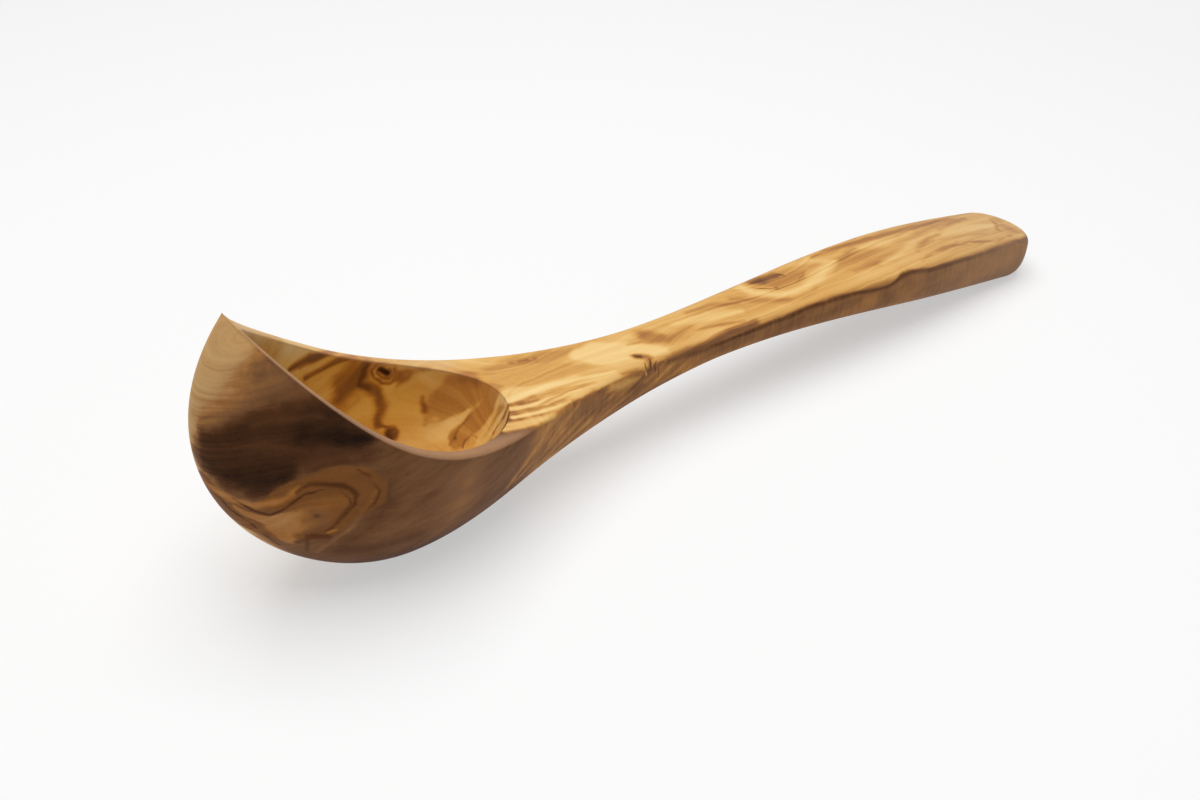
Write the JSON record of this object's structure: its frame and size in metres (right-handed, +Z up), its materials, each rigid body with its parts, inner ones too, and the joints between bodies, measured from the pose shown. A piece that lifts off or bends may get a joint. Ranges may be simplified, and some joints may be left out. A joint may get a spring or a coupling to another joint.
{
  "type": "wooden ladle",
  "caption": "One-piece carved wooden ladle with a deep bowl, a pointed pouring lip, a slim neck and a gently arched flat-topped handle.",
  "frame": {"origin": "on the surface that the ladle lies on, under the middle of its overall length and width", "axes": "+X from the pouring lip to the end of the handle, +Y across the bowl, +Z up out of the bowl's mouth"},
  "size_m": [0.305, 0.0604, 0.089],
  "materials": {
    "olive_wood": "oiled satin, strongly figured"
  },
  "bodies": {
    "root": {"ladle": "olive_wood"}
  },
  "joints": []
}
